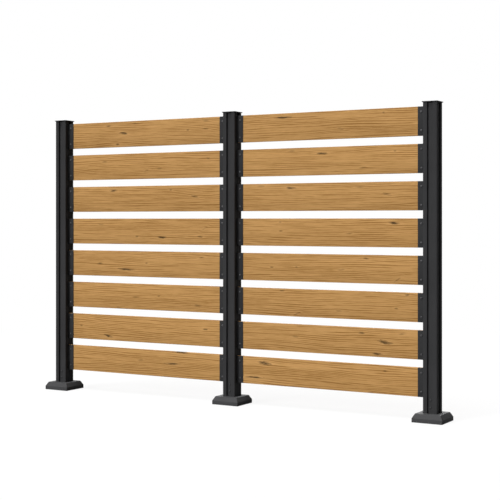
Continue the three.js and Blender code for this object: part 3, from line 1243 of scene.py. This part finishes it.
@dataclass
class BracketColumn:
    """The brackets in one slot of a post, each over its spacer.

    Attributes:
        post: the post that carries them.
        side: the side of the post that they are on.
        rows: the rows of boards that they hold.
        web: thickness of the plate on the slot's floor.
        lip: thickness of a lip.
        lip_inner: distance of a lip's inner face from the board's middle.
        fit: clearance to what a bracket seats on.
        setback: how far a spacer's face lies behind the post's side.
        rim: width of the bevel round the ends of brackets and spacers.
    """

    post: Post
    side: Side
    rows: Rows
    web: float = 2.0 * MM
    lip: float = 1.5 * MM
    lip_inner: float = 8.25 * MM
    fit: float = 0.3 * MM
    setback: float = 0.3 * MM
    rim: float = 0.25 * MM

    @property
    def nodes(self) -> list[str]:
        """Names of the column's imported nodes, from the top one down."""
        facing = f"_{self.side.name.lower()}" if len(self.post.sides) > 1 else ""
        return [f"bracket_{self.post.name}_post{facing}_{row + 1}" for row in range(self.rows.count)]

    @property
    def back(self) -> float:
        """Distance of the brackets' backs from the post's axis."""
        return self.post.slot_floor + self.fit

    def _plan(self, half: Sequence[Corner]) -> Outline:
        """Mirrors half a plan about the board's middle and turns it to its side."""
        mirrored = [(x, -y, radius) for x, y, radius in reversed(half)]
        return rounded([(self.side.value * x, y, radius) for x, y, radius in (*half, *mirrored)], 3)

    def _bracket(self) -> bpy.types.Mesh:
        """Builds one bracket, with the board's lower edge at z = 0."""
        low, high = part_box(self.nodes[0])
        reach = max(abs(low.x - self.post.axis.x), abs(high.x - self.post.axis.x))
        floor = self.back + self.web
        wing = self.post.slot_width / 2 - self.fit
        outer = self.lip_inner + self.lip
        shell = Shell()
        pocket = self._plan([
            (self.back, wing, 0.3 * MM),
            (floor, wing, 0.6 * MM),
            (floor, outer, 0.5 * MM),
            (reach, outer, 0.5 * MM),
            (reach, self.lip_inner, 0.4 * MM),
            (floor, self.lip_inner, 0.8 * MM),
        ])
        shell.prism([pocket], 0.0, self.rows.board)
        shell.ease_rims(self.rim)
        return shell.mesh("bracket_shape")

    def _spacer(self, foot: float) -> bpy.types.Mesh:
        """Builds the spacer under a bracket, from its foot to the bracket at z = 0."""
        wing = self.post.slot_width / 2 - self.fit
        shell = Shell()
        plan = self._plan([(self.back, wing, 0.3 * MM), (self.post.half - self.setback, wing, 0.6 * MM)])
        shell.prism([plan], foot, -self.fit)
        shell.ease_rims(self.rim)
        return shell.mesh("spacer_shape")

    def _stacked(
        self, shape: bpy.types.Mesh, name: str, rows: range, coat: bpy.types.Material, stack: PatternTree
    ) -> bpy.types.Object:
        """Puts a copy of a shape in each of some rows.

        Args:
            shape: the shape, with the board's lower edge at z = 0.
            name: the end of the piece's name.
            rows: the rows that get a copy, counted from the lowest one.
            coat: the material.
            stack: the tree that stacks the copies.

        Returns:
            The piece.
        """
        template = linked(shape.name, shape)
        piece = stack.bake(f"{self.post.name}_post_{name}_{self.side.name.lower()}", {
            "Template": template,
            "Count": len(rows),
            "Foot": self.post.axis + Vector((0, 0, self.rows.foot + rows.start * self.rows.pitch)),
            "Pitch": self.rows.pitch,
            "Material": coat,
        })
        remove(template)
        return piece

    def build(self, coat: bpy.types.Material, stack: PatternTree) -> None:
        """Builds the brackets, and the spacers under them.

        Args:
            coat: their coat.
            stack: the tree that stacks them.
        """
        all_rows = range(self.rows.count)
        brackets = self._stacked(self._bracket(), "brackets", all_rows, coat, stack)
        fit_piece(brackets, SCREEN_BODY, self.nodes)
        between = self._spacer(self.fit - self.rows.gap)
        ground = self._spacer(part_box(self.nodes[-1])[0].z - self.rows.foot)
        for shape, name, rows in ((between, "spacers", all_rows[1:]), (ground, "foot_spacer", all_rows[:1])):
            fit_piece(self._stacked(shape, name, rows, coat, stack), SCREEN_BODY)


@dataclass
class Board:
    """One board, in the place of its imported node.

    Attributes:
        node: name of that node.
        number: its number among all boards, which sets its grain.
        eased: radius of its long edges.
        waviness: how far its faces stray from flat.
        waves: how many waves they make in a metre.
        steps: points along its length.
    """

    node: str
    number: int
    eased: float = 1.4 * MM
    waviness: float = 0.15 * MM
    waves: float = 6.0
    steps: int = 30

    def build(self, slat: PatternTree, knot_nodes: bpy.types.NodeTree) -> bpy.types.Object:
        """Builds the board in its own wood.

        Args:
            slat: the tree of a board.
            knot_nodes: the node group that adds a knot.

        Returns:
            The piece.
        """
        low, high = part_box(self.node)
        size = high - low
        name = self.node.replace("board", "slat")
        wood = WOOD.material(f"{name}_wood", self.number, TIMBERS[self.node], low, knot_nodes)
        piece = slat.bake(name, {
            "Length": size.x,
            "Height": size.z,
            "Thickness": size.y,
            "Eased Edge": self.eased,
            "Centre": (low + high) / 2,
            "Steps": self.steps,
            "Waviness": self.waviness,
            "Waves": self.waves,
            "Seed": float(self.number),
            "Material": wood,
        })
        return fit_piece(piece, SCREEN_BODY, [self.node])


@dataclass(frozen=True)
class PanHead:
    """A pan-head screw with a cross recess, along Y with its head's seat at y = 0.

    Attributes:
        radius: radius of the head.
        height: height of the head.
        length: length of the shank.
        shank: radius of the shank.
        sides: sides of the head and the shank.
        arm: length of a recess's arm, as a share of the head's radius.
        arm_half: half width of that arm, as such a share.
        recess_floor: height of the recess's floor, as a share of the head's.
        taper: size of that floor, as a share of the recess's rim.
    """

    radius: float
    height: float
    length: float
    shank: float = 2.1 * MM
    sides: int = 20
    arm: float = 0.46
    arm_half: float = 0.12
    recess_floor: float = 0.4
    taper: float = 0.6

    def mesh(self) -> bpy.types.Mesh:
        """Builds the screw."""
        shell = Shell()
        dome = ((1.0, 0.0), (1.0, 0.25), (0.95, 0.55), (0.8, 0.84), (0.6, 1.0))
        top = self.height
        rings = [shell.ring(circle(r * self.radius, self.sides), z * top) for r, z in dome]
        tip = shell.ring(circle(self.shank * 0.4, self.sides), -self.length)
        shaft = [shell.ring(circle(self.shank, self.sides), z) for z in (-self.length + self.shank, 0.0)]
        shell.band(tip, *shaft, *rings)
        shell.flat(tip)
        arm, width = self.arm * self.radius, self.arm_half * self.radius
        cross = rounded(four_sides([(arm, -width, 0), (arm, width, 0), (width, width, 0)]))
        rim = shell.ring(cross, top)
        floor = shell.ring([point * self.taper for point in cross], top * self.recess_floor)
        shell.flat(rings[-1], rim)
        shell.band(rim, floor)
        shell.flat(floor)
        bmesh.ops.rotate(shell.bm, verts=shell.bm.verts, matrix=Matrix.Rotation(math.pi / 2, 3, "X"))
        return shell.mesh("screw_shape")


LIP_SCREW = PanHead(radius=5.2 * MM, height=3.0 * MM, length=13.0 * MM)
WEB_SCREW = PanHead(radius=4.2 * MM, height=2.6 * MM, length=9.0 * MM)
BASE_SCREW = PanHead(radius=4.5 * MM, height=2.8 * MM, length=6.5 * MM)


@dataclass
class ScrewSet:
    """Screws of one kind, all on the screen's body.

    Attributes:
        name: name of the piece.
        head: the kind of screw.
        slot: the record's material slot; not used.
        seed: seed of the turns that their recesses are left at.
        places: seat of each head, and the way that it looks.
    """

    name: str
    head: PanHead
    slot: str
    seed: int
    places: list[tuple[Vector, Facing]] = field(default_factory=list)

    def build(self, steel: bpy.types.Material, screws: PatternTree) -> bpy.types.Object:
        """Builds the screws.

        Args:
            steel: their material.
            screws: the tree that puts a screw at each place.

        Returns:
            The piece.
        """
        shape = linked("screw_shape", self.head.mesh())
        marks = bpy.data.meshes.new("screw_places")
        marks.from_pydata([spot for spot, _ in self.places], [], [])
        turn = marks.attributes.new("turn", "FLOAT", "POINT")
        turn.data.foreach_set("value", [facing.value for _, facing in self.places])
        spots = linked("screw_places", marks)
        piece = screws.bake(self.name, {
            "Template": shape,
            "Places": spots,
            "Seed": self.seed,
            "Material": steel,
        })
        remove(shape)
        remove(spots)
        return fit_piece(piece, SCREEN_BODY)


@dataclass
class Screws:
    """All the screws of the screen.

    Attributes:
        lip_out: distance of the lip screws from the post's side.
        lip_spacing: distance between the two screws in a lip.
        base_heights: heights of the base screws above the ground.
        seat: clearance under a base screw's head.
    """

    lip_out: float = 18.0 * MM
    lip_spacing: float = 90.0 * MM
    base_heights: tuple[float, float] = (68.0 * MM, 103.0 * MM)
    seat: float = 0.3 * MM

    def build(
        self,
        posts: Sequence[Post],
        columns: Sequence[BracketColumn],
        steel: bpy.types.Material,
        base_steel: bpy.types.Material,
    ) -> None:
        """Builds the lip, web and base screws.

        Args:
            posts: the posts.
            columns: the brackets that the lip and web screws go through.
            steel: material of the lip and web screws.
            base_steel: material of the base screws.
        """
        lips = ScrewSet("lip_screws", LIP_SCREW, "bracket_coat", seed=4)
        webs = ScrewSet("web_screws", WEB_SCREW, "bracket_coat", seed=5)
        for column in columns:
            post, side = column.post, column.side
            half = column.rows.board / 2
            out = side.value * (post.half + self.lip_out)
            front = -column.lip_inner - column.lip
            for z in column.rows.heights((half - self.lip_spacing / 2, half + self.lip_spacing / 2)):
                lips.places.append((post.axis + Vector((out, front, z)), Facing.FRONT))
            floor = side.value * (column.back + column.web)
            for z in column.rows.heights((half,)):
                webs.places.append((post.axis + Vector((floor, 0, z)), Facing[side.name]))
        base = ScrewSet("base_screws", BASE_SCREW, "mount_steel", seed=6)
        for post in posts:
            depth = post.slot_floor + self.seat
            for z in self.base_heights:
                base.places.append((post.axis + Vector((0, -depth, z)), Facing.FRONT))
                base.places.append((post.axis + Vector((0, depth, z)), Facing.BACK))
        tree = screw_pattern()
        for screws, metal in ((lips, steel), (webs, steel), (base, base_steel)):
            screws.build(metal, tree)


# ------------------------------------------------------------------ studio


@dataclass(frozen=True)
class SunLamp:
    """A distant soft lamp.

    Attributes:
        name: its name.
        towards: the direction that it stands in, seen from the screen.
        strength: its strength.
        softness: the angle that it covers, in degrees.
    """

    name: str
    towards: tuple[float, float, float]
    strength: float
    softness: float

    def build(self) -> None:
        """Hangs the lamp."""
        data = bpy.data.lights.new(self.name, "SUN")
        data.energy = self.strength
        data.angle = math.radians(self.softness)
        lamp = bpy.data.objects.new(self.name, data)
        lamp.location = Vector(self.towards) * 4
        lamp.rotation_euler = Vector(self.towards).to_track_quat("Z", "Y").to_euler()
        bpy.context.scene.collection.objects.link(lamp)


@dataclass(frozen=True)
class Studio:
    """A white studio with a pale floor, three soft lamps and the photo's camera.

    Attributes:
        fill: strength of the light from all round.
        floor_drop: how far the floor lies under the screen.
        floor_half: half width of the floor.
        floor_bounce: how much light the floor gives back.
        floor_white: how white the floor is where it is seen.
        shadow: how much of the screen's shadow shows on the floor.
        near: distance at which the floor starts to fade to white.
        far: distance at which it is white.
        lens: focal length, in millimetres on a 36 mm wide sensor.
        camera_at: place of the camera.
        heading: turn of the camera about Z, in degrees.
        shift: shift of the camera's frame, as shares of its width.
    """

    fill: float = 0.07
    floor_drop: float = 0.5 * MM
    floor_half: float = 30.0
    floor_bounce: float = 0.09
    floor_white: float = 0.8
    shadow: float = 0.16
    near: float = 1.2
    far: float = 4.5
    lens: float = 86.56
    camera_at: tuple[float, float, float] = (3.180, -5.394, 0.9547)
    heading: float = 30.386
    shift: tuple[float, float] = (0.03, -0.0598)
    lamps: tuple[SunLamp, ...] = (
        SunLamp("key_lamp", (-0.45, -1.0, 0.35), 2.58, 20),
        SunLamp("top_lamp", (-0.1, -0.25, 1.0), 3.1, 50),
        SunLamp("back_lamp", (-0.35, 1.0, 0.5), 2.0, 30),
    )

    def build(self) -> None:
        """Sets up the floor, the light and the camera."""
        bpy.context.scene.view_settings.view_transform = "Standard"
        self._world()
        self._floor()
        for lamp in self.lamps:
            lamp.build()
        self._camera()

    @staticmethod
    def _seen(tree: ShaderTree) -> Socket:
        """Adds a value of 1 for what the camera, gloss or glass sees, and else 0."""
        path = tree.add("LightPath").outputs
        gloss = tree.math("MAXIMUM", path["Is Glossy Ray"], path["Is Transmission Ray"])
        return tree.math("MAXIMUM", path["Is Camera Ray"], gloss)

    def _world(self) -> None:
        """Makes the world: white where it is seen, and a plain fill light."""
        world = bpy.data.worlds.new("studio")
        world.use_nodes = True
        tree = ShaderTree(world.node_tree)
        background = world.node_tree.nodes["Background"]
        tree.feed(background.inputs["Color"], (1.0, 1.0, 1.0, 1.0))
        tree.feed(background.inputs["Strength"], tree.spread(self._seen(tree), 0.0, 1.0, self.fill, 1.0))
        bpy.context.scene.world = world

    def _floor(self) -> None:
        """Lays the floor, which keeps the screen's shadow and fades to white."""
        half = self.floor_half
        corners = rounded(four_sides([(half, -half, 0)]))
        shell = Shell()
        shell.flat(shell.ring(corners, 0.0))
        floor = shell.mesh("floor", Vector((0, 0, -self.floor_drop)))
        dressed(floor, self._floor_material())

    def _floor_material(self) -> bpy.types.Material:
        """Builds the floor's material."""
        material = bpy.data.materials.new("floor")
        material.use_nodes = True
        tree = ShaderTree(material.node_tree)
        seen = self._seen(tree)
        shade_of_floor = tree.spread(seen, 0.0, 1.0, self.floor_bounce, self.floor_white)
        matt = tree.add("BsdfDiffuse", {"Color": shade_of_floor}).outputs[0]
        glow = tree.add("Emission", {"Strength": 1.0}).outputs[0]
        place = tree.add("TexCoord").outputs["Object"]
        distance = tree.add("VectorMath", {0: place}, operation="LENGTH").outputs["Value"]
        share = tree.math("MULTIPLY", seen, tree.spread(distance, self.near, self.far, 1 - self.shadow, 1.0))
        mixed = tree.add("MixShader", {0: share, 1: matt, 2: glow}).outputs[0]
        tree.feed(material.node_tree.nodes["Material Output"].inputs["Surface"], mixed)
        return material

    def _camera(self) -> None:
        """Sets up the camera where the photo was taken from."""
        data = bpy.data.cameras.new("camera")
        data.lens = self.lens
        data.shift_x, data.shift_y = self.shift
        camera = bpy.data.objects.new("camera", data)
        camera.location = self.camera_at
        camera.rotation_euler = (math.pi / 2, 0, math.radians(self.heading))
        bpy.context.scene.collection.objects.link(camera)
        bpy.context.scene.camera = camera


# ------------------------------------------------------------------ assembly


def build_screen() -> None:
    """Builds every piece of the screen, from its posts to its screws."""
    rows = Rows.from_frame()
    posts = [Post(name) for name in POST_NAMES]
    columns = [BracketColumn(post, side, rows) for post in posts for side in post.sides]
    post_coat, bracket_coat = POST_COAT.material(), BRACKET_COAT.material()
    cap_plastic, skirt_plastic = CAP_PLASTIC.material(), SKIRT_PLASTIC.material()
    mount_steel, screw_steel = MOUNT_STEEL.material(), SCREW_STEEL.material()
    weld, stack, slat = weld_pattern(), stack_pattern(), slat_pattern()
    knot_nodes = knot_group()
    for post in posts:
        post.build(post_coat)
        PostCap(post.name).build(cap_plastic)
        BaseSkirt(post.name).build(skirt_plastic)
        BaseMount(post.name).build(mount_steel, weld)
    for column in columns:
        column.build(bracket_coat, stack)
    for number, node in enumerate(TIMBERS):
        Board(node, number).build(slat, knot_nodes)
    Screws().build(posts, columns, screw_steel, mount_steel)


def main() -> None:
    """Builds the screen and its studio."""
    logging.basicConfig(level=logging.INFO, format="%(name)s: %(message)s")
    build_screen()
    Studio().build()


if __name__ == "__main__":
    main()
